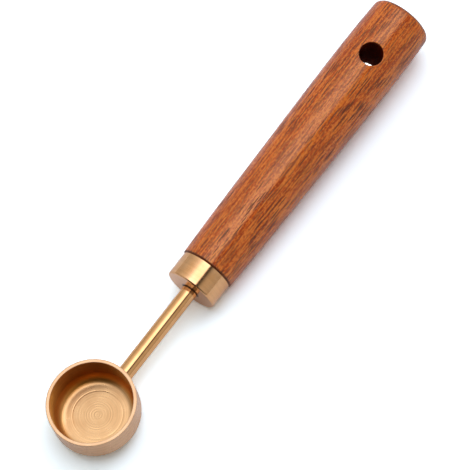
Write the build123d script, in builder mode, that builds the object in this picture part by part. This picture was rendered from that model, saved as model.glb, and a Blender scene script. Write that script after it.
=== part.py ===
from build123d import *
import os

# A measuring spoon: a turned brass cup on a brass stem, screwed through a brass ferrule
# into a turned wooden handle. Lengths are in millimetres.
# The cup is level, with +Z up its axis. The handle points along +X, and the origin is at
# the centre of the cup's underside.

# Cup
cup_diameter = 27.0
cup_wall = 1.1
cup_depth = 10.7
cup_floor = 1.0
cup_base_round = 3.6
cup_inner_round = 3.2
rim_break = 0.15

# Stem
stem_diameter = 4.9
stem_height = 4.0
stem_reach = 46.0
seat_depth = 0.65
thread_diameter = 4.0
thread_pitch = 0.7
thread_depth = 0.38
thread_length = 19.0
undercut_length = 1.4
stem_tip_chamfer = 0.5

# Ferrule
ferrule_diameter = 16.6
ferrule_length = 8.0
ferrule_front_round = 0.5
ferrule_back_chamfer = 0.2
stem_socket_depth = 5.5
socket_chamfer = 0.25
spigot_diameter = 11.0
spigot_length = 5.0
spigot_chamfer = 0.4

# Threaded insert
insert_diameter = 8.0
insert_length = 10.0
insert_groove_depth = 0.4
insert_groove_count = 5
insert_chamfer = 0.3

# Handle
handle_length = 100.0
handle_front_diameter = 17.2
handle_neck_diameter = 18.52
handle_middle_diameter = 19.38
handle_belly_diameter = 20.14
handle_tail_diameter = 19.4
neck_place_share = 0.25
middle_place_share = 0.5
belly_place_share = 0.8
handle_front_chamfer = 0.35
handle_tail_round = 1.9
hanging_hole_diameter = 7.5
hanging_hole_from_tail = 18.3
hanging_hole_turn = 14.0
hanging_hole_break = 0.25

# Clearances: the first four are radial, the last two are lengths along the stem
solder_gap = 0.03
slip_fit = 0.05
glue_gap = 0.1
pilot_gap = 0.3
end_room = 0.3
pilot_run_out = 3.5

# How far a cut runs past the face that it starts from
overrun = 1.0

cup_radius = cup_diameter / 2
cup_height = cup_depth + cup_floor
stem_radius = stem_diameter / 2
seat_place = cup_radius - seat_depth
shoulder_place = stem_reach + stem_socket_depth
stem_end = shoulder_place + thread_length
joint_place = stem_reach + ferrule_length
insert_place = joint_place + spigot_length + end_room
tail_place = joint_place + handle_length
hole_place = tail_place - hanging_hole_from_tail

side_of_stem = Plane(origin=(0, 0, stem_height), x_dir=(1, 0, 0), z_dir=(0, -1, 0))
stem_axis = Axis((0, 0, stem_height), (1, 0, 0))


def across_stem(place):
    """Plane square to the stem, place along it from the cup's axis, facing the handle's tail."""
    return Plane(origin=(place, 0, stem_height), x_dir=(0, 1, 0), z_dir=(1, 0, 0))


# Cup: turned in one piece, with a flat seat cut into its wall for the stem's square end
with BuildPart() as cup:
    with BuildSketch(Plane.XZ):
        with BuildLine():
            Polyline(
                (0, 0),
                (cup_radius, 0),
                (cup_radius, cup_height),
                (cup_radius - cup_wall, cup_height),
                (cup_radius - cup_wall, cup_floor),
                (0, cup_floor),
                close=True,
            )
        make_face()
    revolve(axis=Axis.Z)
    floor_corner = cup.edges().filter_by(GeomType.CIRCLE).group_by(SortBy.RADIUS)[0].sort_by(Axis.Z)[0]
    fillet(floor_corner, radius=cup_inner_round)
    heel = cup.edges().filter_by(GeomType.CIRCLE).sort_by(Axis.Z)[0]
    fillet(heel, radius=cup_base_round)
    rim = cup.faces().filter_by(GeomType.PLANE).sort_by(Axis.Z)[-1]
    fillet(rim.edges(), radius=rim_break)
    with BuildSketch(across_stem(seat_place)):
        Circle(stem_radius + solder_gap)
    extrude(amount=seat_depth + overrun, mode=Mode.SUBTRACT)
cup.part.label = "cup"


# Stem: a plain rod, stepped down inside the ferrule to a thread with an undercut
thread_start = shoulder_place + undercut_length
thread_turns = int((thread_length - undercut_length - stem_tip_chamfer) / thread_pitch)
thread_root = thread_diameter / 2 - thread_depth

stem_outline = [
    (seat_place, 0),
    (seat_place, stem_radius),
    (shoulder_place, stem_radius),
    (shoulder_place, thread_root),
    (thread_start, thread_root),
]
for turn in range(thread_turns):
    root = thread_start + turn * thread_pitch
    stem_outline += [(root + thread_pitch / 2, thread_diameter / 2), (root + thread_pitch, thread_root)]
stem_outline += [
    (stem_end - stem_tip_chamfer, thread_root),
    (stem_end, thread_root - stem_tip_chamfer),
    (stem_end, 0),
]

with BuildPart() as stem:
    with BuildSketch(side_of_stem):
        with BuildLine():
            Polyline(*stem_outline, close=True)
        make_face()
    revolve(axis=stem_axis)
stem.part.label = "stem"


# Ferrule: a turned collar with a spigot behind, bored for the rod in front and the thread behind
with BuildPart() as ferrule:
    with BuildSketch(across_stem(stem_reach)):
        Circle(ferrule_diameter / 2)
    extrude(amount=ferrule_length)
    rims = ferrule.edges().filter_by(GeomType.CIRCLE).sort_by(stem_axis)
    fillet(rims[0], radius=ferrule_front_round)
    rims = ferrule.edges().filter_by(GeomType.CIRCLE).sort_by(stem_axis)
    chamfer(rims[-1], length=ferrule_back_chamfer)
    with BuildSketch(across_stem(joint_place)):
        Circle(spigot_diameter / 2)
    extrude(amount=spigot_length)
    rims = ferrule.edges().filter_by(GeomType.CIRCLE).sort_by(stem_axis)
    chamfer(rims[-1], length=spigot_chamfer)
    with BuildSketch(across_stem(stem_reach)):
        Circle(stem_radius + slip_fit)
    extrude(amount=stem_socket_depth, mode=Mode.SUBTRACT)
    with BuildSketch(across_stem(shoulder_place)):
        Circle(thread_diameter / 2 + slip_fit)
    extrude(amount=ferrule_length + spigot_length, mode=Mode.SUBTRACT)
    mouth = ferrule.edges().filter_by(GeomType.CIRCLE).group_by(stem_axis)[0].sort_by(SortBy.RADIUS)[0]
    chamfer(mouth, length=socket_chamfer)
ferrule.part.label = "ferrule"


# Threaded insert: a grooved sleeve glued into the handle behind the spigot
groove_pitch = insert_length / (insert_groove_count + 1)
insert_radius = insert_diameter / 2

with BuildPart() as threaded_insert:
    with BuildSketch(across_stem(insert_place)):
        Circle(insert_radius)
        Circle(thread_diameter / 2 + slip_fit, mode=Mode.SUBTRACT)
    extrude(amount=insert_length)
    outer_rims = threaded_insert.edges().filter_by(GeomType.CIRCLE).group_by(SortBy.RADIUS)[-1]
    chamfer(outer_rims, length=insert_chamfer)
    with BuildSketch(side_of_stem):
        for groove in range(insert_groove_count):
            middle = insert_place + (groove + 1) * groove_pitch
            with BuildLine():
                Polyline(
                    (middle, insert_radius - insert_groove_depth),
                    (middle - insert_groove_depth - overrun, insert_radius + overrun),
                    (middle + insert_groove_depth + overrun, insert_radius + overrun),
                    close=True,
                )
            make_face()
    revolve(axis=stem_axis, mode=Mode.SUBTRACT)
threaded_insert.part.label = "threaded_insert"


# Handle: turned from one piece of wood and bored from the front, with a cross hole to hang it by,
# which is turned a little about the handle from straight up
hole_direction = Vector(0, 0, 1).rotate(Axis.X, hanging_hole_turn)
across_hole = Plane(origin=(hole_place, 0, stem_height), x_dir=(1, 0, 0), z_dir=hole_direction)

with BuildPart() as handle:
    with BuildSketch(side_of_stem):
        with BuildLine():
            Polyline(
                (tail_place, handle_tail_diameter / 2),
                (tail_place, 0),
                (joint_place, 0),
                (joint_place, handle_front_diameter / 2),
            )
            Spline(
                (joint_place, handle_front_diameter / 2),
                (joint_place + handle_length * neck_place_share, handle_neck_diameter / 2),
                (joint_place + handle_length * middle_place_share, handle_middle_diameter / 2),
                (joint_place + handle_length * belly_place_share, handle_belly_diameter / 2),
                (tail_place, handle_tail_diameter / 2),
            )
        make_face()
    revolve(axis=stem_axis)
    ends = handle.edges().filter_by(GeomType.CIRCLE).sort_by(stem_axis)
    chamfer(ends[0], length=handle_front_chamfer)
    ends = handle.edges().filter_by(GeomType.CIRCLE).sort_by(stem_axis)
    fillet(ends[-1], radius=handle_tail_round)
    with BuildSketch(across_stem(joint_place)):
        Circle(spigot_diameter / 2 + glue_gap)
    extrude(amount=spigot_length + end_room, mode=Mode.SUBTRACT)
    with BuildSketch(across_stem(insert_place)):
        Circle(insert_radius + glue_gap)
    extrude(amount=insert_length, mode=Mode.SUBTRACT)
    with BuildSketch(across_stem(insert_place)):
        Circle(thread_diameter / 2 + pilot_gap)
    extrude(amount=stem_end - insert_place + pilot_run_out, mode=Mode.SUBTRACT)
    with BuildSketch(across_hole):
        Circle(hanging_hole_diameter / 2)
    extrude(amount=handle_belly_diameter, both=True, mode=Mode.SUBTRACT)
    hole_edges = handle.edges(Select.LAST).filter_by(GeomType.LINE, reverse=True)
    fillet(hole_edges, radius=hanging_hole_break)
handle.part.label = "handle"


os.makedirs("parts", exist_ok=True)
for piece in (cup, stem, ferrule, threaded_insert, handle):
    export_step(piece.part, f"parts/{piece.part.label}.step")
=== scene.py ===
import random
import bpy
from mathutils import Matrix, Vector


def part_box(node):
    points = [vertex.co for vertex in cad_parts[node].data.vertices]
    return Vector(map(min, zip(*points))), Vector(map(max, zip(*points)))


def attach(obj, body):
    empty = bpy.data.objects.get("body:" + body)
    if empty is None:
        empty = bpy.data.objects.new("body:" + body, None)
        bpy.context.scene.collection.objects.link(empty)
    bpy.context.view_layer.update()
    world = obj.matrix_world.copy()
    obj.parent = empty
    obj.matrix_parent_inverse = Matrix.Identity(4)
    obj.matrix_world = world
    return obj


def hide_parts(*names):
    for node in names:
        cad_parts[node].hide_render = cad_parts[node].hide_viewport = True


bl_info = {
    "name": "Measuring Spoon",
    "version": (1, 0, 0),
    "blender": (4, 5, 0),
    "location": "3D View > Sidebar > Spoon",
    "description": "A teaspoon measure with a turned brass cup and a turned wooden handle",
    "category": "Object",
}

from math import atan2, ceil, cos, exp, hypot, pi, radians, sin, sqrt

import bmesh
import bpy
import numpy as np
from bpy.props import FloatProperty, FloatVectorProperty, IntProperty, PointerProperty
from mathutils import Matrix, Vector

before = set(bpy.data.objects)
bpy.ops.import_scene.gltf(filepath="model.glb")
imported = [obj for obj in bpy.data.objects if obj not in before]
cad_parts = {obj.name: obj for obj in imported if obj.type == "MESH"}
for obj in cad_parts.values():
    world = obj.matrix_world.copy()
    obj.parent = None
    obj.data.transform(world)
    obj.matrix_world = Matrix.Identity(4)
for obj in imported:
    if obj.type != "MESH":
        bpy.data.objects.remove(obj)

MM = 0.001
TINY = 1e-9

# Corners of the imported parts' boxes. X runs along the handle, Z up the cup.
CUP_LOW, CUP_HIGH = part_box("cup")
STEM_LOW, STEM_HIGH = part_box("stem")
FERRULE_LOW, FERRULE_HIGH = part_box("ferrule")
INSERT_LOW, INSERT_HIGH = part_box("threaded_insert")
HANDLE_LOW, HANDLE_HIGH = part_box("handle")
STEM_LIFT = (STEM_LOW.z + STEM_HIGH.z) / 2

# Turning: how finely round pieces, small corners and wide corners are divided
ROUND_STEPS = 192
CORNER_STEPS = 6
WIDE_CORNER_STEPS = 14
# How close a holding ring lies to a corner, how far apart rings lie on a long run, and the angle from which
# an edge is shaded sharp
HOLD = 0.06 * MM
RUN = 0.5 * MM
CREASE = radians(32)


# Outlines: lists of (place along the axis, radius)


def corner(place, radius, size, start, end, steps=CORNER_STEPS):
    """Points of a rounded corner about (place, radius), angles in degrees from the axis' direction."""
    points = []
    for step in range(steps + 1):
        angle = radians(start + (end - start) * step / steps)
        points.append((place + size * cos(angle), radius + size * sin(angle)))
    return points


def with_runs(points, run=RUN):
    """The outline with points close to each corner and along every long run, so that it shades flat there."""
    out = [points[0]]
    for (x0, r0), (x1, r1) in zip(points, points[1:]):
        length = hypot(x1 - x0, r1 - r0)
        if length > 4 * HOLD:
            hold = HOLD / length
            count = int((length - 2 * HOLD) / run)
            shares = [hold, 1 - hold]
            shares += [hold + (1 - 2 * hold) * k / (count + 1) for k in range(1, count + 1)]
            out += [(x0 + (x1 - x0) * share, r0 + (r1 - r0) * share) for share in sorted(shares)]
        out.append((x1, r1))
    return out


# Meshes


def along_stem(place, radius, angle):
    """A point at an angle about the stem's axis, from straight up."""
    return Vector((place, -radius * sin(angle), STEM_LIFT + radius * cos(angle)))


def around_cup(place, radius, angle):
    """A point at an angle about the cup's axis."""
    return Vector((radius * cos(angle), radius * sin(angle), place))


def along_hole(turn):
    """The hanging hole's direction, turned about the handle from straight up, and the one across it."""
    return Vector((0.0, -sin(turn), cos(turn))), Vector((0.0, cos(turn), sin(turn)))


def ring(mesh, where, place, radius, steps=ROUND_STEPS):
    """One ring of a turned piece, or a single point on its axis."""
    if radius < TINY:
        return [mesh.verts.new(where(place, 0.0, 0.0))]
    return [mesh.verts.new(where(place, radius, 2 * pi * step / steps)) for step in range(steps)]


def skin(mesh, first, second, opening=()):
    """Faces between two rings, either of which may be a single point. Steps in the opening stay open."""
    for step in range(max(len(first), len(second))):
        if step in opening:
            continue
        corners = []
        for vert in (
            first[step % len(first)],
            first[(step + 1) % len(first)],
            second[(step + 1) % len(second)],
            second[step % len(second)],
        ):
            if vert not in corners:
                corners.append(vert)
        if len(corners) > 2:
            mesh.faces.new(corners)


def skin_along(mesh, rings):
    """Faces from each ring to the next."""
    for first, second in zip(rings, rings[1:]):
        skin(mesh, first, second)


def turned(mesh, outline, where, hollow=False, steps=ROUND_STEPS):
    """A turned body: the outline carried round its axis. A hollow one closes on itself."""
    rings = [ring(mesh, where, place, radius, steps) for place, radius in outline]
    skin_along(mesh, rings)
    if hollow:
        skin(mesh, rings[-1], rings[0])
    return rings


def finish_piece(mesh, name, node, slot, *materials):
    """Turns a mesh into a piece that stands for its node and takes its materials."""
    bmesh.ops.recalc_face_normals(mesh, faces=mesh.faces)
    data = bpy.data.meshes.new(name)
    mesh.to_mesh(data)
    mesh.free()
    data.polygons.foreach_set("use_smooth", [True] * len(data.polygons))
    data.set_sharp_from_angle(angle=CREASE)
    piece = bpy.data.objects.new(name, data)
    bpy.context.scene.collection.objects.link(piece)
    for material in materials:
        data.materials.append(material)
    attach(piece, "root")
    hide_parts(node)


# Materials

# The shader groups that are made so far, by the function that makes each
GROUPS = {}


class Weaver:
    """Adds nodes to a tree. What it is given may be numbers, colours or the outputs of other nodes."""

    def __init__(self, tree):
        self.tree = tree

    def node(self, kind, **settings):
        node = self.tree.nodes.new(kind)
        for key, value in settings.items():
            setattr(node, key, value)
        return node

    def feed(self, socket, value):
        """Links an output to a socket, or sets the socket itself. A colour of three parts is made opaque."""
        if isinstance(value, bpy.types.NodeSocket):
            self.tree.links.new(value, socket)
        elif isinstance(value, (int, float)):
            socket.default_value = value
        else:
            missing = len(socket.default_value) - len(value)
            socket.default_value = tuple(value) + (1.0,) * missing

    def fill(self, sockets, **values):
        """Feeds sockets by their names, with _ for a space."""
        for key, value in values.items():
            self.feed(sockets[key.replace("_", " ")], value)

    def math(self, operation, first, second=0.0, third=0.0, clamp=False):
        node = self.node("ShaderNodeMath", operation=operation, use_clamp=clamp)
        for socket, value in zip(node.inputs, (first, second, third)):
            self.feed(socket, value)
        return node.outputs[0]

    def total(self, *parts):
        """The sum of values, each times its share."""
        result = 0.0
        for value, share in parts:
            result = self.math("MULTIPLY_ADD", value, share, result)
        return result

    def diagonal(self, first, second):
        """How far away a point is that lies so far in two directions square to each other."""
        return self.math("SQRT", self.total((first, first), (second, second)))

    def swing(self, noise, reach):
        """A noise about 0.5 as a swing about 0."""
        return self.math("MULTIPLY", self.math("SUBTRACT", noise, 0.5), reach)

    def noise(self, where, scale, detail=2.0, roughness=0.5, distortion=0.0, in_line=False):
        """Noise from 0 to 1 in space, or in a line, where it follows a single value."""
        node = self.node("ShaderNodeTexNoise", noise_dimensions="1D" if in_line else "3D")
        self.feed(node.inputs["W" if in_line else "Vector"], where)
        self.fill(node.inputs, Scale=scale, Detail=detail, Roughness=roughness, Distortion=distortion)
        return node.outputs["Fac"]

    def remap(self, value, low, high, to_low=0.0, to_high=1.0, smooth=True):
        """A value taken from one range to another, and held at its ends."""
        node = self.node("ShaderNodeMapRange", interpolation_type="SMOOTHSTEP" if smooth else "LINEAR")
        self.fill(node.inputs, Value=value, From_Min=low, From_Max=high, To_Min=to_low, To_Max=to_high)
        return node.outputs["Result"]

    def blend(self, share, first, second, kind="MIX"):
        node = self.node("ShaderNodeMix", data_type="RGBA", blend_type=kind)
        # a Mix node has its sockets for colours at these numbers
        for number, value in ((0, share), (6, first), (7, second)):
            self.feed(node.inputs[number], value)
        return node.outputs[2]

    def tinted(self, colour, tint):
        """A colour times a tint."""
        return self.blend(1.0, colour, tint, kind="MULTIPLY")

    def grey(self, level):
        node = self.node("ShaderNodeCombineColor")
        for socket in node.inputs:
            self.feed(socket, level)
        return node.outputs[0]

    def apart(self, vector):
        """A vector's X, Y and Z."""
        node = self.node("ShaderNodeSeparateXYZ")
        self.feed(node.inputs[0], vector)
        return node.outputs

    def stretched(self, vector, along, across):
        """A vector multiplied along X, the grain, and across it."""
        node = self.node("ShaderNodeVectorMath", operation="MULTIPLY")
        self.feed(node.inputs[0], vector)
        self.feed(node.inputs[1], (along, across, across))
        return node.outputs[0]

    def bump(self, height, distance):
        node = self.node("ShaderNodeBump")
        self.fill(node.inputs, Strength=1.0, Distance=distance, Height=height)
        return node.outputs["Normal"]

    def shared(self, maker, **values):
        """Places a shader group, which is made once for all materials, and gives its outputs."""
        if maker not in GROUPS:
            GROUPS[maker] = maker()
        node = self.node("ShaderNodeGroup", node_tree=GROUPS[maker])
        self.fill(node.inputs, **values)
        return node.outputs


def new_group(name, inputs, outputs):
    """An empty shader group, as a Weaver for it, what it is given and what it makes."""
    w = Weaver(bpy.data.node_groups.new(name, "ShaderNodeTree"))
    for way, sockets in (("INPUT", inputs), ("OUTPUT", outputs)):
        for label, kind in sockets.items():
            w.tree.interface.new_socket(name=label, in_out=way, socket_type="NodeSocket" + kind)
    return w, w.node("NodeGroupInput").outputs, w.node("NodeGroupOutput").inputs


# Turning marks: how much of their height is each ring's own wave and how much is uneven, the scale of a swell
# over about six rings, and how much of their tone is fine and how much is that swell
RING_WAVE, RING_UNEVEN = 0.25, 2.0
SWELL_SCALE = 0.17
FINE_TONE, SWELL_TONE = 0.6, 0.4


def turning_marks():
    """Fine rings left by a cutting tool, from a place across the rings: a height about 0, and a tone."""
    w, given, made = new_group(
        "Turning Marks",
        {"Across": "Float", "Pitch": "Float", "Unevenness": "Float"},
        {"Height": "Float", "Tone": "Float"},
    )
    turns = w.math("DIVIDE", given["Across"], given["Pitch"])
    fine = w.noise(turns, 1.0, detail=3.0, roughness=0.7, in_line=True)
    swell = w.noise(turns, SWELL_SCALE, detail=1.0, in_line=True)
    wave = w.math("SINE", w.math("MULTIPLY", turns, 2 * pi))
    uneven = w.swing(fine, given["Unevenness"])
    w.feed(made["Height"], w.total((wave, RING_WAVE), (uneven, RING_UNEVEN)))
    w.feed(made["Tone"], w.total((fine, FINE_TONE), (swell, SWELL_TONE)))
    return w.tree


# The noise at which brass is still bright, and at which it is dulled
TARNISH_RANGE = (0.35, 0.75)


def tarnish():
    """Cloudy variation of a brass surface: a mask from 0, bright, to 1, dulled."""
    w, given, made = new_group("Tarnish", {"Place": "Vector", "Cloud Size": "Float"}, {"Mask": "Float"})
    scale = w.math("DIVIDE", 1.0, given["Cloud Size"])
    cloud = w.noise(given["Place"], scale, detail=4.0, roughness=0.6, distortion=0.3)
    w.feed(made["Mask"], w.remap(cloud, *TARNISH_RANGE))
    return w.tree


# The wood's markings, broad ones that wander a little first: how many to a metre along and across the grain,
# and their noise's detail, roughness and distortion
WOOD_MARKS = {
    "broad": (10.0, 130.0, 2.0, 0.5, 0.5),
    "bands": (20.0, 560.0, 3.0, 0.6, 0.0),
    "fine": (70.0, 1650.0, 2.0, 0.6, 0.0),
    "speckle": (1200.0, 2400.0, 2.0, 0.7, 0.0),
    "crowd": (30.0, 330.0, 1.0, 0.5, 0.0),
}
# How much of the wood's tone comes from each
TONE_SHARES = (("broad", 0.36), ("bands", 0.44), ("fine", 0.20))
# Washes over the middle colour, in turn: the marking, from where to where on it, the most, and the colour
WOOD_WASHES = (
    ("tone", 0.48, 0.58, 1.0, "Light Wood"),
    ("tone", 0.49, 0.40, 0.5, "Dark Wood"),
    ("fine", 0.50, 0.41, 0.95, "Dark Wood"),
    ("fine", 0.51, 0.59, 0.7, "Light Wood"),
    ("speckle", 0.51, 0.60, 0.7, "Light Wood"),
    ("speckle", 0.49, 0.40, 0.6, "Dark Wood"),
)
# Pores, long ones, then short ones: how many to a metre along and across the grain, and the distances from a
# pore's middle at which it starts and is full
PORE_KINDS = ((85.0, 1450.0, 0.34, 0.24), (150.0, 1900.0, 0.38, 0.28))
# From where to where on its marking pores crowd together, and how dark they are before and after
PORE_CROWD = (0.38, 0.60, 0.5, 0.95)
# How high the fine lines stand, as a share of the pores' depth
LINE_HEIGHT = 0.5


def wood_grain():
    """Solid wood with its grain along X: a colour, a mask of the pores and a height."""
    w, given, made = new_group(
        "Wood Grain",
        {"Place": "Vector", **dict.fromkeys(("Light Wood", "Mid Wood", "Dark Wood", "Pore Colour"), "Color")},
        {"Color": "Color", "Pores": "Float", "Height": "Float"},
    )
    place = given["Place"]
    marks = {}
    for name, (along, across, *kind) in WOOD_MARKS.items():
        marks[name] = w.noise(w.stretched(place, along, across), 1.0, *kind)
    marks["tone"] = w.total(*((marks[name], share) for name, share in TONE_SHARES))
    colour = given["Mid Wood"]
    for name, start, full, most, wood in WOOD_WASHES:
        colour = w.blend(w.remap(marks[name], start, full, 0.0, most), colour, given[wood])
    pores = 0.0
    for along, across, start, full in PORE_KINDS:
        cell = w.node("ShaderNodeTexVoronoi", voronoi_dimensions="3D", feature="F1")
        w.fill(cell.inputs, Vector=w.stretched(place, along, across), Scale=1.0, Randomness=1.0)
        pores = w.math("MAXIMUM", pores, w.remap(cell.outputs["Distance"], start, full))
    pores = w.math("MULTIPLY", pores, w.remap(marks["crowd"], *PORE_CROWD))
    w.feed(made["Color"], w.blend(pores, colour, given["Pore Colour"]))
    w.feed(made["Pores"], pores)
    w.feed(made["Height"], w.math("SUBTRACT", w.swing(marks["fine"], LINE_HEIGHT), pores))
    return w.tree


# How many times the edge of a dark line wavers in a metre
LINE_WAVERS = 1400.0


def dark_line():
    """A soft line of painted shade at a joint or an edge: a mask from 0 to 1 between two distances."""
    w, given, made = new_group(
        "Dark Line",
        {"Place": "Vector", **dict.fromkeys(("Across", "Clean At", "Dark At", "Darkness"), "Float")},
        {"Mask": "Float"},
    )
    clear, dark = given["Clean At"], given["Dark At"]
    shift = w.swing(w.noise(given["Place"], LINE_WAVERS), w.math("SUBTRACT", clear, dark))
    line = w.remap(w.math("ADD", given["Across"], shift), clear, dark)
    w.feed(made["Mask"], w.math("MULTIPLY", line, given["Darkness"], clamp=True))
    return w.tree


def new_material(name):
    """A material, with a Weaver for it, its Principled shader's sockets and the place on its piece."""
    material = bpy.data.materials.new(name)
    material.use_nodes = True
    w = Weaver(material.node_tree)
    place = w.node("ShaderNodeTexCoord").outputs["Object"]
    return material, w, w.tree.nodes["Principled BSDF"].inputs, place


# Brass: the size of its clouds, the tones of its marks between which it lightens, how much the deepest marks
# darken it, and the shares of its roughness where it is bright and where it has dulled
CLOUD_SIZE = 6 * MM
MARK_TONES = (0.35, 0.65)
MARK_SHADE = 0.25
BRIGHT_ROUGH, DULL_ROUGH = 0.9, 1.15
# The line of painted shade where rod and ferrule meet
JOINT_SHADE = (0.10, 0.045, 0.018)
JOINT_SHADE_DARKNESS = 0.9
# The inside of the cup, by distances out from its axis or up from its underside: from where to where it
# starts at the wall, the rim and the floor
WALL_EDGE = (12.7 * MM, 12.5 * MM)
RIM_EDGE = (11.7 * MM, 11.45 * MM)
FLOOR_EDGE = (0.4 * MM, 0.6 * MM)
# Its tints, which paint light and shade into the hollow: the floor a little darker, the rounding and the wall
# deeper in colour and the wall a little brighter; and from where to where the next one takes over on the way
# up
FLOOR_TINT = (0.875, 0.85, 0.72)
ROUNDING_FROM = (1.02 * MM, 1.5 * MM)
ROUNDING_TINT = (1.04, 0.78, 0.40)
WALL_FROM = (2.2 * MM, 4.6 * MM)
WALL_TINT = (1.14, 1.12, 0.60)
# The painted shade on the wall beside the stem: its direction from the stem's, how squarely a place faces it,
# how far out it lies, its tint
SHADE_SIDE = radians(52)
SHADE_FACING = (0.45, 0.95)
SHADE_FROM = (9.2 * MM, 11.0 * MM)
SIDE_SHADE_COLOUR = (0.60, 0.36, 0.09)
# The floor's middle, darker with painted shade, from where to where and from which level to which, and how the
# inside roughens
MIDDLE_SHADE = (1.0 * MM, 6.0 * MM, 0.90, 1.0)
ROUGHER_FROM = (0.7 * MM, 2.4 * MM)
ROUGHER_BY = 0.2


def painted_cup_inside(w, s, x, y, z, out):
    """A mask of the cup's inside and its tint.

    Light and shade are painted on it: a little shade on its floor and more at its middle, a deeper, more
    saturated colour up its wall, and the most shade on the wall beside the stem.
    """
    inside = w.math("MULTIPLY", w.remap(out, *WALL_EDGE), w.remap(z, *RIM_EDGE))
    inside = w.math("MULTIPLY", inside, w.remap(z, *FLOOR_EDGE))
    toward = w.math("DIVIDE", w.total((x, cos(SHADE_SIDE)), (y, sin(SHADE_SIDE))), out)
    beside_stem = w.math("MULTIPLY", w.remap(toward, *SHADE_FACING), w.remap(out, *SHADE_FROM))
    tint = w.blend(w.remap(z, *ROUNDING_FROM), FLOOR_TINT, ROUNDING_TINT)
    tint = w.blend(w.remap(z, *WALL_FROM), tint, WALL_TINT)
    tint = w.blend(w.math("MULTIPLY", beside_stem, s.side_shade), tint, SIDE_SHADE_COLOUR)
    return inside, w.tinted(tint, w.grey(w.remap(out, *MIDDLE_SHADE)))


def brass(name, s, pitch, bump, unevenness=0.6, tone_depth=0.5, is_cup=False, line=None):
    """Brass with turning marks, which follow each other along the stem, or outwards and up the cup.

    A line of painted shade darkens the metal where rod and ferrule meet: (kind, clear, dark), with places
    along the stem for the kind "along", or distances from its axis for the kind "mouth". Inside the cup,
    light and shade are painted on.
    """
    material, w, shader, place = new_material(name)
    x, y, z = w.apart(place)
    across = x
    if is_cup:
        out = w.diagonal(x, y)
        across = w.math("ADD", out, z)
    marks = w.shared(turning_marks, Across=across, Pitch=pitch, Unevenness=unevenness)
    dulled = w.shared(tarnish, Place=place, Cloud_Size=CLOUD_SIZE)["Mask"]
    colour = w.blend(dulled, s.colour, s.dull_colour)
    tone = w.remap(marks["Tone"], *MARK_TONES, 1.0 - tone_depth * MARK_SHADE, 1.0)
    colour = w.tinted(colour, w.grey(tone))
    rough = w.remap(dulled, 0.0, 1.0, s.roughness * BRIGHT_ROUGH, s.roughness * DULL_ROUGH)
    if is_cup:
        # painted light and shade inside the cup
        inside, tint = painted_cup_inside(w, s, x, y, z, out)
        colour = w.blend(inside, colour, w.tinted(colour, tint))
        rougher = w.math("MULTIPLY", inside, w.remap(z, *ROUGHER_FROM))
        rough = w.math("MULTIPLY_ADD", rougher, ROUGHER_BY, rough)
    if line:
        kind, clear, dark = line
        away = w.diagonal(y, w.math("SUBTRACT", z, STEM_LIFT)) if kind == "mouth" else x
        joint_shade = w.shared(
            dark_line, Place=place, Across=away, Clean_At=clear, Dark_At=dark, Darkness=JOINT_SHADE_DARKNESS
        )
        # painted shade where rod and ferrule meet
        colour = w.blend(joint_shade["Mask"], colour, JOINT_SHADE)
    w.fill(shader, Base_Color=colour, Metallic=1.0, Roughness=rough, Normal=w.bump(marks["Height"], bump))
    return material


# The wood's lines of painted shade: from where to where, and how dark, beyond the hole's wall and from the
# handle's ends
HOLE_LINE = (0.12 * MM, 0.0, 1.0)
TAIL_LINE = (1.5 * MM, 0.5 * MM, 0.75)
JOINT_LINE = (0.75 * MM, 0.2 * MM, 0.95)
# How much rougher the wood is in its pores and its lines of painted shade, and how deep the pores and the
# drill's rings are
DULL_BY = 0.3
PORE_DEPTH = 0.02 * MM


def grain_of(w, place, light, mid, dark, pore):
    """The wood grain in four colours."""
    return w.shared(
        wood_grain, Place=place, Light_Wood=light, Mid_Wood=mid, Dark_Wood=dark, Pore_Colour=pore
    )


def oiled_wood(s):
    """The handle's wood, with painted shade at the hole's edges, the tail's end and the ferrule, where it is
    also duller.
    """
    material, w, shader, place = new_material("Oiled Hardwood")
    grain = grain_of(w, place, s.light_wood, s.mid_wood, s.dark_wood, s.pore_colour)
    x, y, z = w.apart(place)
    beside = w.math("SUBTRACT", x, HANDLE_HIGH.x - s.hole_from_tail)
    lift = w.math("SUBTRACT", z, STEM_LIFT)
    aside = w.total((lift, sin(s.hole_turn)), (y, cos(s.hole_turn)))
    from_hole = w.math("SUBTRACT", w.diagonal(beside, aside), s.hole_diameter / 2)
    from_tail = w.math("SUBTRACT", HANDLE_HIGH.x, x)
    from_joint = w.math("SUBTRACT", x, HANDLE_LOW.x)
    # painted shade: darker, duller lines at the hole's edge, the tail's rounded end and the joint with the
    # ferrule
    shade_and_dull = 0.0
    for away, line in ((from_hole, HOLE_LINE), (from_tail, TAIL_LINE), (from_joint, JOINT_LINE)):
        clear, dark, darkness = line
        mask = w.shared(
            dark_line, Place=place, Across=away, Clean_At=clear, Dark_At=dark, Darkness=darkness
        )
        shade_and_dull = w.math("MAXIMUM", shade_and_dull, mask["Mask"])
    painted = w.tinted(grain["Color"], s.shade_tint)
    open_or_dull = w.math("MAXIMUM", grain["Pores"], shade_and_dull)
    w.fill(
        shader,
        Base_Color=w.blend(shade_and_dull, grain["Color"], painted),
        Roughness=w.remap(open_or_dull, 0.0, 1.0, s.roughness, s.roughness + DULL_BY),
        Coat_Weight=w.remap(shade_and_dull, 0.0, 1.0, s.coat, 0.0, smooth=False),
        Coat_Roughness=0.16,
        Specular_IOR_Level=0.8,
        Specular_Tint=(1.0, 0.86, 0.50),
        Normal=w.bump(grain["Height"], PORE_DEPTH),
    )
    return material


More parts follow.
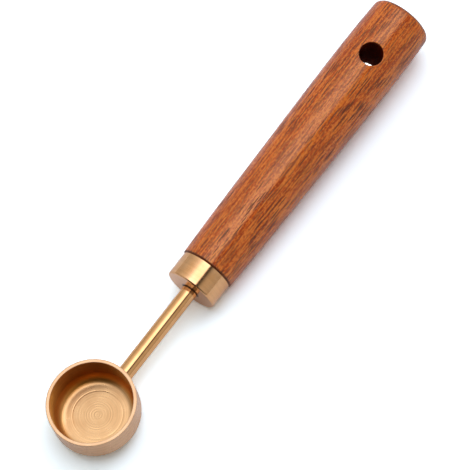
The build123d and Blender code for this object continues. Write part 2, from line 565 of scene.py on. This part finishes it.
def drilled_wood(s):
    """The bare wall of the drilled hole: dark with painted shade, with rings that the drill left, and no oil.
    """
    material, w, shader, place = new_material("Drilled Hardwood")
    marks = w.shared(turning_marks, Across=w.apart(place)["Z"], Pitch=0.4 * MM, Unevenness=0.9)
    # painted shade: darker grain colours and a dark tint stand in for the shade down the bore
    grain = grain_of(w, place, s.mid_wood, s.dark_wood, s.dark_wood, s.pore_colour)
    bare = w.tinted(grain["Color"], s.bore_shade)
    rings = w.bump(marks["Height"], PORE_DEPTH)
    w.fill(shader, Base_Color=bare, Roughness=0.9, Specular_IOR_Level=0.05, Normal=rings)
    return material


# Settings


def a_length(name, description, value):
    return FloatProperty(
        name=name, description=description, default=value, unit="LENGTH", subtype="DISTANCE", precision=5
    )


def a_colour(name, description, value):
    return FloatVectorProperty(
        name=name, description=description, default=value, size=3, min=0.0, max=1.0, subtype="COLOR"
    )


def a_share(name, description, value):
    return FloatProperty(
        name=name, description=description, default=value, min=0.0, max=1.0, subtype="FACTOR"
    )


def a_level(name, description, value, least=0.0):
    return FloatProperty(name=name, description=description, default=value, min=least, precision=5)


class CupSettings(bpy.types.PropertyGroup):
    diameter: a_length("Diameter", "Across the outside of the cup", CUP_HIGH.x - CUP_LOW.x)
    height: a_length("Height", "From the underside to the rim", CUP_HIGH.z - CUP_LOW.z)
    wall: a_length("Wall", "Thickness of the wall at the rim", 1.1 * MM)
    floor: a_length("Floor", "Thickness of the floor", 1.0 * MM)
    heel_round: a_length("Heel Rounding", "Radius between the underside and the wall", 3.6 * MM)
    floor_round: a_length("Floor Rounding", "Radius between the floor and the wall inside", 3.2 * MM)
    rim_break: a_length("Rim Break", "Radius of the rim's two edges", 0.15 * MM)
    ring_radius: a_length("Ring Radius", "Radius of the groove turned in the floor", 7.55 * MM)
    ring_depth: a_length("Ring Depth", "Depth of the groove turned in the floor", 0.03 * MM)
    colour: a_colour("Colour", "Brass where it is bright", (0.87, 0.535, 0.285))
    dull_colour: a_colour("Dull Colour", "Brass where it has dulled", (0.81, 0.475, 0.245))
    # painted shade on the wall inside the cup, beside the stem
    side_shade: a_share("Side Shade", "How dark the wall is inside, beside the stem", 0.95)
    roughness: a_share("Roughness", "How satin the brass is", 0.28)


class StemSettings(bpy.types.PropertyGroup):
    diameter: a_length("Diameter", "Across the rod", STEM_HIGH.z - STEM_LOW.z)
    reach: a_length("Reach", "From the cup's axis to the end of the plain rod in the ferrule", 51.5 * MM)
    thread_diameter: a_length("Thread Diameter", "Across the thread's crests", 4.0 * MM)
    thread_depth: a_length("Thread Depth", "From crest to root", 0.38 * MM)
    thread_pitch: a_length("Thread Pitch", "From crest to crest", 0.7 * MM)
    undercut: a_length("Undercut", "Length of the groove behind the shoulder", 1.4 * MM)
    tip_chamfer: a_length("Tip Chamfer", "Chamfer at the thread's end", 0.5 * MM)
    colour: a_colour("Colour", "Polished brass", (0.87, 0.47, 0.195))
    dull_colour: a_colour("Dull Colour", "Brass where it has dulled", (0.80, 0.41, 0.16))
    roughness: a_share("Roughness", "How satin the brass is", 0.07)


class FerruleSettings(bpy.types.PropertyGroup):
    diameter: a_length("Diameter", "Across the collar", FERRULE_HIGH.z - FERRULE_LOW.z)
    collar: a_length("Collar Length", "Length of the part that shows", HANDLE_LOW.x - FERRULE_LOW.x)
    front_round: a_length("Front Rounding", "Radius of the front edge", 0.5 * MM)
    back_chamfer: a_length("Back Chamfer", "Chamfer of the back edge", 0.2 * MM)
    socket_diameter: a_length("Socket Diameter", "Across the bore for the rod", 5.0 * MM)
    socket_depth: a_length("Socket Depth", "Depth of the bore for the rod", 5.5 * MM)
    socket_chamfer: a_length("Socket Chamfer", "Chamfer at the bore's mouth", 0.3 * MM)
    thread_bore: a_length("Thread Bore", "Across the bore for the thread", 4.1 * MM)
    spigot_diameter: a_length("Spigot Diameter", "Across the spigot in the handle", 11.0 * MM)
    spigot_chamfer: a_length("Spigot Chamfer", "Chamfer at the spigot's end", 0.4 * MM)
    colour: a_colour("Colour", "Brushed brass", (0.87, 0.49, 0.235))
    dull_colour: a_colour("Dull Colour", "Brass where it has dulled", (0.80, 0.41, 0.165))
    roughness: a_share("Roughness", "How satin the brass is", 0.12)


class InsertSettings(bpy.types.PropertyGroup):
    diameter: a_length("Diameter", "Across the sleeve", INSERT_HIGH.z - INSERT_LOW.z)
    bore: a_length("Bore", "Across the threaded bore", 4.1 * MM)
    groove_depth: a_length("Groove Depth", "Depth of the glue grooves", 0.4 * MM)
    groove_count: IntProperty(
        name="Groove Count", description="Glue grooves round the sleeve", default=5, min=1, max=12
    )
    chamfer: a_length("Chamfer", "Chamfer at both ends", 0.3 * MM)
    teeth: IntProperty(name="Teeth", description="Teeth of the knurling round the sleeve", default=36, min=3)
    tooth_depth: a_length("Tooth Depth", "Depth of the knurling", 0.12 * MM)
    colour: a_colour("Colour", "Brass", (0.82, 0.58, 0.27))
    dull_colour: a_colour("Dull Colour", "Brass where it has dulled", (0.76, 0.50, 0.22))
    roughness: a_share("Roughness", "How satin the brass is", 0.3)


class HandleSettings(bpy.types.PropertyGroup):
    front_diameter: a_length("Front Diameter", "Across the end at the ferrule", 17.2 * MM)
    neck_diameter: a_length("Neck Diameter", "Across, a quarter of the way along", 18.52 * MM)
    middle_diameter: a_length("Middle Diameter", "Across, half of the way along", 19.38 * MM)
    belly_diameter: a_length("Belly Diameter", "Across, four fifths of the way along", 20.14 * MM)
    tail_diameter: a_length("Tail Diameter", "Across the tail, before its rounding", 19.4 * MM)
    front_chamfer: a_length("Front Chamfer", "Chamfer of the front edge", 0.35 * MM)
    tail_round: a_length("Tail Rounding", "Radius of the tail's edge", 1.9 * MM)
    hole_diameter: a_length("Hole Diameter", "Across the hanging hole", 7.5 * MM)
    hole_from_tail: a_length("Hole from Tail", "From the hanging hole to the tail's end", 18.3 * MM)
    hole_turn: FloatProperty(
        name="Hole Turn", description="How far it is turned from upright", default=radians(14), subtype="ANGLE"
    )
    hole_break: a_length("Hole Edge", "Radius of the hole's edges", 0.25 * MM)
    spigot_bore: a_length("Spigot Bore", "Across the bore for the spigot", 11.2 * MM)
    spigot_depth: a_length("Spigot Depth", "Depth of the bore for the spigot", 5.3 * MM)
    insert_bore: a_length("Insert Bore", "Across the bore for the insert", 8.2 * MM)
    insert_depth: a_length("Insert Depth", "Depth of the bore for the insert, from the front", 15.3 * MM)
    pilot_bore: a_length("Pilot Bore", "Across the pilot hole", 4.6 * MM)
    pilot_depth: a_length("Pilot Depth", "Depth of the pilot hole, from the front", 20.0 * MM)
    light_wood: a_colour("Light Wood", "Wood between the grain lines", (0.90, 0.235, 0.030))
    mid_wood: a_colour("Mid Wood", "Most of the wood", (0.77, 0.119, 0.005))
    dark_wood: a_colour("Dark Wood", "Darker bands of the wood", (0.41, 0.041, 0.002))
    pore_colour: a_colour("Pore Colour", "The open pores", (0.13, 0.010, 0.001))
    # painted shade at the wood's edges and at the ferrule
    shade_tint: a_colour("Stain", "Multiplies the wood where it is stained dark", (0.24, 0.19, 0.16))
    # painted shade in the hanging hole
    bore_shade: a_colour("Bore Shade", "Multiplies the wood inside the hanging hole", (0.36, 0.26, 0.20))
    roughness: a_share("Roughness", "How satin the oiled wood is", 0.22)
    coat: a_share("Oil", "How much the oil finish shines", 0.03)


class StageSettings(bpy.types.PropertyGroup):
    floor_level: a_level("Floor", "How much light the floor gives back", 0.68)
    floor_mirrored: a_level("Floor in Metal", "How pale metal shows the floor", 0.95)
    floor_seen: a_level("Floor White", "How white the camera sees the floor", 1.74)
    dark_end_from: a_level("Dark End From", "Where the studio starts to darken", -0.08, least=-1.0)
    dark_end_to: a_level("Dark End To", "Where the studio is dark", -0.30, least=-1.0)
    dark_end_level: a_level("Dark End Level", "How bright the end beyond the cup still is", 0.08)
    light_level: a_level("Light Level", "Brightness of the whole studio", 1.0)
    hole_light: a_level("Hole Light", "Light on the floor under the hanging hole", 0.00025)
    lens: a_level("Lens", "Focal length of the camera in millimetres", 214.47, least=1.0)


# Pieces

# The cup's floor: how many rings it is turned in, the groove's width, the share of the groove's radius within
# which there are shallow rings, and their height and pitch
FLOOR_RINGS = 150
GROOVE_WIDTH = 0.16 * MM
WAVES_WITHIN = 0.86
WAVE_HEIGHT = 0.008 * MM
WAVE_PITCH = 0.80 * MM


class SPOON_OT_cup(bpy.types.Operator):
    """Turn the brass cup"""

    bl_idname = "spoon.cup"
    bl_label = "Cup"

    def execute(self, context):
        s = context.scene.spoon_cup
        out, inside = s.diameter / 2, s.diameter / 2 - s.wall
        rim, edge = s.height - s.rim_break, inside - s.floor_round
        # the outline runs out, up and back in: angles are from +Z towards the outside
        outline = [(0.0, 0.0)]
        outline += corner(s.heel_round, out - s.heel_round, s.heel_round, 180, 90, WIDE_CORNER_STEPS)
        outline += corner(rim, out - s.rim_break, s.rim_break, 90, 0)
        outline += corner(rim, inside + s.rim_break, s.rim_break, 0, -90)
        outline += corner(s.floor + s.floor_round, edge, s.floor_round, 90, 180, WIDE_CORNER_STEPS)
        outline = with_runs(outline)
        # the floor: a fine groove, and shallow rings inside it, which fade in towards the middle
        for step in range(1, FLOOR_RINGS + 1):
            radius = edge * (1 - step / FLOOR_RINGS)
            away = (radius - s.ring_radius) / GROOVE_WIDTH
            dip = -s.ring_depth * exp(-away * away)
            fade = max(0.0, 1 - radius / (s.ring_radius * WAVES_WITHIN))
            wave = WAVE_HEIGHT * cos(2 * pi * radius / WAVE_PITCH) * min(1.0, 3 * fade)
            outline.append((s.floor + dip + wave, radius))
        mesh = bmesh.new()
        turned(mesh, outline, around_cup)
        material = brass(
            "Cup Brass", s, pitch=0.34 * MM, bump=0.0022 * MM, unevenness=0.9, tone_depth=0.8, is_cup=True
        )
        finish_piece(mesh, "turned_cup", "cup", "cup_brass", material)
        return {"FINISHED"}


# How many rings each turn of the stem's thread is made of
THREAD_RINGS = 10


class SPOON_OT_stem(bpy.types.Operator):
    """Draw the rod and cut its thread"""

    bl_idname = "spoon.stem"
    bl_label = "Stem"

    def execute(self, context):
        s = context.scene.spoon_stem
        radius, crest = s.diameter / 2, s.thread_diameter / 2
        root = crest - s.thread_depth
        start, shoulder, end = STEM_LOW.x, s.reach, STEM_HIGH.x
        outline = with_runs([(start, 0.0), (start, radius), (shoulder, radius), (shoulder, root)])
        mesh = bmesh.new()
        last = turned(mesh, outline, along_stem)[-1]
        # a helical thread, which grows from the undercut and is chamfered at its tip
        thread_start, tip = shoulder + s.undercut, end - s.tip_chamfer
        count = int((end - thread_start) / s.thread_pitch * THREAD_RINGS)

        def on_thread(place, most, angle):
            turn = (place / s.thread_pitch + angle / (2 * pi)) % 1.0
            ridge = 1 - abs(2 * turn - 1)
            grown = min(1.0, max(0.0, (place - thread_start) / s.thread_pitch))
            return along_stem(place, min(root + s.thread_depth * ridge * grown, most), angle)

        places = [thread_start + (end - thread_start) * k / count for k in range(count + 1)]
        rings = [ring(mesh, on_thread, place, crest - max(0.0, place - tip)) for place in places]
        skin_along(mesh, [last, *rings, ring(mesh, along_stem, end, 0.0)])
        # painted shade on the rod, just in front of the ferrule
        line = ("along", FERRULE_LOW.x - 0.5 * MM, FERRULE_LOW.x - 0.15 * MM)
        material = brass(
            "Stem Brass", s, pitch=0.5 * MM, bump=0.0004 * MM, unevenness=0.7, tone_depth=0.3, line=line
        )
        finish_piece(mesh, "drawn_stem", "stem", "stem_brass", material)
        return {"FINISHED"}


class SPOON_OT_ferrule(bpy.types.Operator):
    """Turn the brass ferrule"""

    bl_idname = "spoon.ferrule"
    bl_label = "Ferrule"

    def execute(self, context):
        s = context.scene.spoon_ferrule
        front, end, radius = FERRULE_LOW.x, FERRULE_HIGH.x, s.diameter / 2
        back, shoulder = front + s.collar, front + s.socket_depth
        socket, bore, spigot = s.socket_diameter / 2, s.thread_bore / 2, s.spigot_diameter / 2
        outline = [(front + s.socket_chamfer, socket), (front, socket + s.socket_chamfer)]
        outline += corner(front + s.front_round, radius - s.front_round, s.front_round, 180, 90)
        outline += [
            (back - s.back_chamfer, radius),
            (back, radius - s.back_chamfer),
            (back, spigot),
            (end - s.spigot_chamfer, spigot),
            (end, spigot - s.spigot_chamfer),
            (end, bore),
            (shoulder, bore),
            (shoulder, socket),
            (front + s.socket_chamfer, socket),
        ]
        mesh = bmesh.new()
        turned(mesh, with_runs(outline)[:-1], along_stem, hollow=True)
        # painted shade on the ferrule's front, round the rod's mouth
        line = ("mouth", socket + 0.75 * MM, socket + 0.4 * MM)
        material = brass(
            "Ferrule Brass", s, pitch=0.22 * MM, bump=0.0012 * MM, unevenness=0.9, tone_depth=0.4, line=line
        )
        finish_piece(mesh, "turned_ferrule", "ferrule", "ferrule_brass", material)
        return {"FINISHED"}


class SPOON_OT_insert(bpy.types.Operator):
    """Turn the grooved insert inside the handle"""

    bl_idname = "spoon.insert"
    bl_label = "Threaded Insert"

    def execute(self, context):
        s = context.scene.spoon_insert
        radius, bore = s.diameter / 2, s.bore / 2
        start, end = INSERT_LOW.x, INSERT_HIGH.x
        pitch = (end - start) / (s.groove_count + 1)
        outline = [(start, bore), (start, radius - s.chamfer), (start + s.chamfer, radius)]
        for groove in range(1, s.groove_count + 1):
            middle = start + groove * pitch
            outline += [
                (middle - s.groove_depth, radius),
                (middle, radius - s.groove_depth),
                (middle + s.groove_depth, radius),
            ]
        outline += [(end - s.chamfer, radius), (end, radius - s.chamfer), (end, bore), (start, bore)]

        def knurled(place, out, angle):
            """A point on the sleeve, cut between its teeth where it is widest."""
            cut = s.tooth_depth * abs(2 * ((s.teeth * angle / (2 * pi)) % 1.0) - 1)
            return along_stem(place, out - cut if out > radius - s.chamfer / 2 else out, angle)

        mesh = bmesh.new()
        turned(mesh, with_runs(outline)[:-1], knurled, hollow=True, steps=8 * s.teeth)
        material = brass("Insert Brass", s, pitch=0.3 * MM, bump=0.001 * MM)
        finish_piece(mesh, "knurled_insert", "threaded_insert", "insert_brass", material)
        return {"FINISHED"}


# Where the handle's five named diameters lie, as shares of its length
DIAMETER_PLACES = (0.0, 0.25, 0.5, 0.8, 1.0)
# How far apart rings lie in the handle's bores and along its wall, and how many its tail's end has
BORE_RUN = 2 * MM
WALL_STEP = 0.5 * MM
END_RINGS = 24
# The window that is left open about the hanging hole: rings each way along, and steps each way round
WINDOW_RINGS = 10
WINDOW_STEPS = 15
# Rings that fill the window and how they crowd towards the hole, rings over its edge, and rings in its bore
FILL_RINGS = 9
FILL_CROWDING = 1.4
EDGE_RINGS = 4
BORE_RINGS = 40
# How far the edge is torn where the drill went in, and where it came out
TORN_IN, TORN_OUT = 0.04 * MM, 0.13 * MM


class SPOON_OT_handle(bpy.types.Operator):
    """Turn the wooden handle and drill its hanging hole"""

    bl_idname = "spoon.handle"
    bl_label = "Handle"

    def execute(self, context):
        s = context.scene.spoon_handle
        front, tail = HANDLE_LOW.x, HANDLE_HIGH.x
        hole_place, hole = tail - s.hole_from_tail, s.hole_diameter / 2
        facing, across = along_hole(s.hole_turn)
        axis = Vector((0.0, 0.0, STEM_LIFT))
        # a smooth curve through the five named diameters
        diameters = [s.front_diameter, s.neck_diameter, s.middle_diameter, s.belly_diameter, s.tail_diameter]
        curve = np.polyfit(DIAMETER_PLACES, np.array(diameters) / 2, len(diameters) - 1)

        def wall(place):
            return float(np.polyval(curve, (place - front) / (tail - front)))

        def on_wall(place, radius, angle):
            return axis + Vector((place, 0.0, 0.0)) + radius * (cos(angle) * facing + sin(angle) * across)

        # bores and front face, then the front chamfer
        outline = [
            (front + s.pilot_depth, 0.0),
            (front + s.pilot_depth, s.pilot_bore / 2),
            (front + s.insert_depth, s.pilot_bore / 2),
            (front + s.insert_depth, s.insert_bore / 2),
            (front + s.spigot_depth, s.insert_bore / 2),
            (front + s.spigot_depth, s.spigot_bore / 2),
            (front, s.spigot_bore / 2),
            (front, wall(front) - s.front_chamfer),
            (front + s.front_chamfer, wall(front + s.front_chamfer)),
        ]
        outline = with_runs(outline, run=BORE_RUN)
        # the wall, whose rings are counted from the window's first one
        window, tail_start = hole_place - WINDOW_RINGS * WALL_STEP, tail - s.tail_round
        before = int((window - front - 1.5 * s.front_chamfer) / WALL_STEP)
        after = ceil((tail_start - window) / WALL_STEP - 0.5)
        low = len(outline) + before
        high = low + 2 * WINDOW_RINGS
        places = [window + k * WALL_STEP for k in range(-before, after)]
        outline += [(place, wall(place)) for place in places]
        # the tail's rounding and its flat end
        edge = wall(tail_start) - s.tail_round
        outline += corner(tail_start, edge, s.tail_round, 90, 0, WIDE_CORNER_STEPS)
        outline += [(tail, edge * (1 - k / END_RINGS)) for k in range(1, END_RINGS + 1)]

        mesh = bmesh.new()
        rings = [ring(mesh, on_wall, place, radius) for place, radius in outline]
        half_way = ROUND_STEPS // 2
        opening = set()
        for middle in (0, half_way):
            opening.update((middle + k) % ROUND_STEPS for k in range(-WINDOW_STEPS, WINDOW_STEPS))
        for row, (one, two) in enumerate(zip(rings, rings[1:])):
            skin(mesh, one, two, opening if low <= row < high else ())
        # the vertices inside each window go, and rings about the hole take their place
        for row in range(low + 1, high):
            for middle in (0, half_way):
                for k in range(-WINDOW_STEPS + 1, WINDOW_STEPS):
                    mesh.verts.remove(rings[row][(middle + k) % ROUND_STEPS])

        def border(side):
            """The window's border in order round the hole: (vertex, its place along and across)."""
            cells = [(row, -WINDOW_STEPS) for row in range(low, high)]
            cells += [(high, k) for k in range(-WINDOW_STEPS, WINDOW_STEPS)]
            cells += [(row, WINDOW_STEPS) for row in range(high, low, -1)]
            cells += [(low, k) for k in range(WINDOW_STEPS, -WINDOW_STEPS, -1)]
            points = []
            for row, k in cells:
                vert = rings[row][(k if side > 0 else half_way - k) % ROUND_STEPS]
                away = vert.co - axis
                points.append((vert, away.x - hole_place, away.dot(across)))
            return points

        draw = random.Random(7)
        ragged = [draw.gauss(0.0, 1.0) for _ in range(4 * (WINDOW_STEPS + WINDOW_RINGS))]

        def hole_end(side, torn):
            """Fills a window in to the hole and goes over its torn edge. Gives the bore's first ring."""
            points = border(side)
            angles = [atan2(v, u) for _, u, v in points]

            def lay(u, v, sunk=0.0):
                place = hole_place + u
                height = sqrt(wall(place) ** 2 - v * v) - sunk
                spot = axis + Vector((place, 0.0, 0.0)) + v * across + side * height * facing
                return mesh.verts.new(spot)

            rows = [[vert for vert, _, _ in points]]
            outer = hole + s.hole_break
            for k in range(1, FILL_RINGS + 1):
                t = 1 - (1 - k / FILL_RINGS) ** FILL_CROWDING
                row = []
                for (_, u, v), angle in zip(points, angles):
                    row.append(lay(u + (outer * cos(angle) - u) * t, v + (outer * sin(angle) - v) * t))
                rows.append(row)
            for k in range(1, EDGE_RINGS + 1):
                turn = radians(90) * k / EDGE_RINGS
                row = []
                for rough, angle in zip(ragged, angles):
                    out = hole + s.hole_break * (1 - sin(turn)) - abs(torn * rough * sin(turn))
                    row.append(lay(out * cos(angle), out * sin(angle), s.hole_break * (1 - cos(turn))))
                rows.append(row)
            rows.append([lay(hole * cos(angle), hole * sin(angle), 3 * s.hole_break) for angle in angles])
            skin_along(mesh, rows)
            return rows[-1]

        top, bottom = hole_end(1, TORN_IN), hole_end(-1, TORN_OUT)
        faces_before = len(mesh.faces)
        bore = [top]
        for k in range(1, BORE_RINGS):
            share = k / BORE_RINGS
            bore.append([mesh.verts.new(one.co.lerp(two.co, share)) for one, two in zip(top, bottom)])
        skin_along(mesh, bore + [bottom])
        mesh.faces.ensure_lookup_table()
        for face in mesh.faces[faces_before:]:
            face.material_index = 1
        finish_piece(mesh, "turned_handle", "handle", "handle_wood", oiled_wood(s), drilled_wood(s))
        return {"FINISHED"}


# Stage: the spoon lies on the front of its handle, a little nose down, so the floor leans in the cup's frame
FLOOR_UP = Vector((0.0335, 0.0, 1.0)).normalized()
FLOOR_REACH = 4.0
CAMERA_PLACE = Vector((-136.78, -282.55, 763.38)) * MM
CAMERA_RIGHT = Vector((0.59788, -0.79051, -0.13281))
CAMERA_UP = Vector((0.7633, 0.51085, 0.39548))
SENSOR = 36.0
# The studio's brightness by angle across the handle: degrees from straight up towards +Y, and level
STUDIO_WALLS = (
    *((-180, 0.70), (-130, 0.74), (-119, 0.70), (-100, 0.57), (-82, 0.49), (-67, 0.55), (-53, 0.57)),
    *((-44, 0.50), (-37, 0.32), (-32, 0.08), (-24, 0.06), (-21, 2.25), (8, 2.25), (16, 1.70)),
    *((24, 1.18), (38, 0.84), (60, 0.64), (75, 0.54), (92, 0.62), (113, 0.76), (180, 0.70)),
)
BRIGHTEST = 2.5
# The colours of the overhead box and of the white floor, both a little cool
COOL_BOX = (0.96, 1.0, 1.15)
COOL_WHITE = (0.95, 1.035, 1.01)
# By direction, from where to where the light changes, and its shares before and after: towards the far side,
# where the dark end is paler, and towards the tail, where the box stops short
FAR_SIDE = (0.15, 0.65, 0.0, 0.75)
TAIL_END = (0.60, 0.90, 1.0, 0.45)
# The lamp under the hanging hole: how far below the wood, how far aside and in which direction, and its cone
LAMP_BELOW = 0.12 * MM
LAMP_ASIDE = 4.0 * MM
LAMP_TOWARDS = CAMERA_UP + 0.3 * CAMERA_RIGHT
LAMP_CONE = radians(105)
LAMP_SOFTNESS = 0.3


def facing_matrix(place, back, up):
    """A lamp's or camera's place and turn: it looks away from back, with up above."""
    back = back.normalized()
    right = up.cross(back).normalized()
    matrix = Matrix((right, back.cross(right), back)).transposed().to_4x4()
    matrix.translation = place
    return matrix


class SPOON_OT_stage(bpy.types.Operator):
    """Lay the floor and set the studio's light, the lamp under the hanging hole and the camera"""

    bl_idname = "spoon.stage"
    bl_label = "Stage"

    def execute(self, context):
        s = context.scene.spoon_stage
        self.lay_floor(context.scene, s)
        self.light_studio(context.scene, s)
        self.light_hole(context.scene, s)
        self.set_camera(context.scene, s)
        return {"FINISHED"}

    def lay_floor(self, scene, s):
        """A wide floor that touches the lowest points of the spoon as it lies."""
        low = min(vert.co.dot(FLOOR_UP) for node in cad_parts.values() for vert in node.data.vertices)
        side = FLOOR_UP.cross(Vector((0.0, 1.0, 0.0))).normalized()
        other = FLOOR_UP.cross(side)
        signs = ((-1, -1), (1, -1), (1, 1), (-1, 1))
        corners = [FLOOR_UP * low + FLOOR_REACH * (a * side + b * other) for a, b in signs]
        data = bpy.data.meshes.new("floor")
        data.from_pydata(corners, [], [(0, 1, 2, 3)])
        floor = bpy.data.objects.new("floor", data)
        scene.collection.objects.link(floor)
        material = bpy.data.materials.new("Pale Floor")
        material.use_nodes = True
        w = Weaver(material.node_tree)
        plain = w.node("ShaderNodeBsdfDiffuse")
        # the camera sees the floor as a clean white, and metal and glass show it pale too
        path = w.node("ShaderNodeLightPath").outputs
        mirrored = w.math("MAXIMUM", path["Is Glossy Ray"], path["Is Transmission Ray"])
        pale = w.blend(mirrored, (s.floor_level,) * 3, (s.floor_mirrored,) * 3)
        white = [part * s.floor_seen for part in COOL_WHITE]
        w.feed(plain.inputs["Color"], w.blend(path["Is Camera Ray"], pale, white))
        w.feed(w.tree.nodes["Material Output"].inputs["Surface"], plain.outputs[0])
        data.materials.append(material)

    def light_studio(self, scene, s):
        """A studio all round: a long soft box overhead, dark beside its right edge, and pale walls."""
        world = bpy.data.worlds.new("Studio")
        scene.world = world
        world.use_nodes = True
        w = Weaver(world.node_tree)
        x, y, z = w.apart(w.node("ShaderNodeTexCoord").outputs["Generated"])
        walls = w.node("ShaderNodeValToRGB")
        stops = walls.color_ramp.elements
        stops.remove(stops[-1])
        for number, (angle, level) in enumerate(STUDIO_WALLS):
            place = 0.5 + angle / 360
            stop = stops.new(place) if number else stops[0]
            stop.position = place
            cool = COOL_BOX if level > 1 else (1.0, 1.0, 1.0)
            stop.color = [level / BRIGHTEST * part for part in cool] + [1.0]
        w.feed(walls.inputs[0], w.remap(w.math("ARCTAN2", y, z), -pi, pi, smooth=False))
        # the end beyond the cup is darker, most of all on the near side, and the box stops short of the tail
        lit = w.remap(x, s.dark_end_from, s.dark_end_to, 1.0, 0.0)
        lit = w.math("MAXIMUM", lit, w.remap(y, *FAR_SIDE))
        lit = w.math("MULTIPLY", lit, w.remap(x, *TAIL_END))
        dusk = (s.dark_end_level / BRIGHTEST,) * 3
        background = w.tree.nodes["Background"].inputs
        w.feed(background["Color"], w.blend(lit, dusk, walls.outputs["Color"]))
        w.feed(background["Strength"], BRIGHTEST * s.light_level)

    def light_hole(self, scene, s):
        """A little light under the hanging hole, so that the pale floor shows through it."""
        handle = scene.spoon_handle
        facing, _ = along_hole(handle.hole_turn)
        middle = Vector((HANDLE_HIGH.x - handle.hole_from_tail, 0.0, STEM_LIFT))
        under = middle - facing * (handle.belly_diameter / 2 + LAMP_BELOW)
        aside = (LAMP_TOWARDS - facing * LAMP_TOWARDS.dot(facing)).normalized()
        glow = bpy.data.lights.new("hole_lamp", "SPOT")
        glow.energy = s.hole_light
        glow.spot_size = LAMP_CONE
        glow.spot_blend = LAMP_SOFTNESS
        glow.shadow_soft_size = 0.0
        lamp = bpy.data.objects.new("hole_lamp", glow)
        lamp.matrix_world = facing_matrix(under + aside * LAMP_ASIDE, FLOOR_UP, CAMERA_UP)
        scene.collection.objects.link(lamp)

    def set_camera(self, scene, s):
        """The camera, and colours shown as they are."""
        lens = bpy.data.cameras.new("camera")
        lens.lens = s.lens
        lens.sensor_width = SENSOR
        lens.clip_start = 0.01
        lens.clip_end = 100.0
        camera = bpy.data.objects.new("camera", lens)
        camera.matrix_world = facing_matrix(CAMERA_PLACE, CAMERA_RIGHT.cross(CAMERA_UP), CAMERA_UP)
        scene.collection.objects.link(camera)
        scene.camera = camera
        scene.view_settings.view_transform = "Standard"


class SPOON_PT_panel(bpy.types.Panel):
    bl_idname = "SPOON_PT_panel"
    bl_label = "Measuring Spoon"
    bl_space_type = "VIEW_3D"
    bl_region_type = "UI"
    bl_category = "Spoon"

    def draw(self, context):
        for name, kind, group in PIECES:
            box = self.layout.box()
            box.operator(kind.bl_idname)
            for setting in group.__annotations__:
                box.prop(getattr(context.scene, name), setting)


PIECES = (
    ("spoon_cup", SPOON_OT_cup, CupSettings),
    ("spoon_stem", SPOON_OT_stem, StemSettings),
    ("spoon_ferrule", SPOON_OT_ferrule, FerruleSettings),
    ("spoon_insert", SPOON_OT_insert, InsertSettings),
    ("spoon_handle", SPOON_OT_handle, HandleSettings),
    ("spoon_stage", SPOON_OT_stage, StageSettings),
)


def register():
    for name, kind, group in PIECES:
        bpy.utils.register_class(group)
        bpy.utils.register_class(kind)
        setattr(bpy.types.Scene, name, PointerProperty(type=group))
    bpy.utils.register_class(SPOON_PT_panel)


def unregister():
    bpy.utils.unregister_class(SPOON_PT_panel)
    for name, kind, group in reversed(PIECES):
        delattr(bpy.types.Scene, name)
        bpy.utils.unregister_class(kind)
        bpy.utils.unregister_class(group)


def main():
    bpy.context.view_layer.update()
    register()
    bpy.ops.spoon.cup()
    bpy.ops.spoon.stem()
    bpy.ops.spoon.ferrule()
    bpy.ops.spoon.insert()
    bpy.ops.spoon.handle()
    bpy.ops.spoon.stage()


if __name__ == "__main__":
    main()
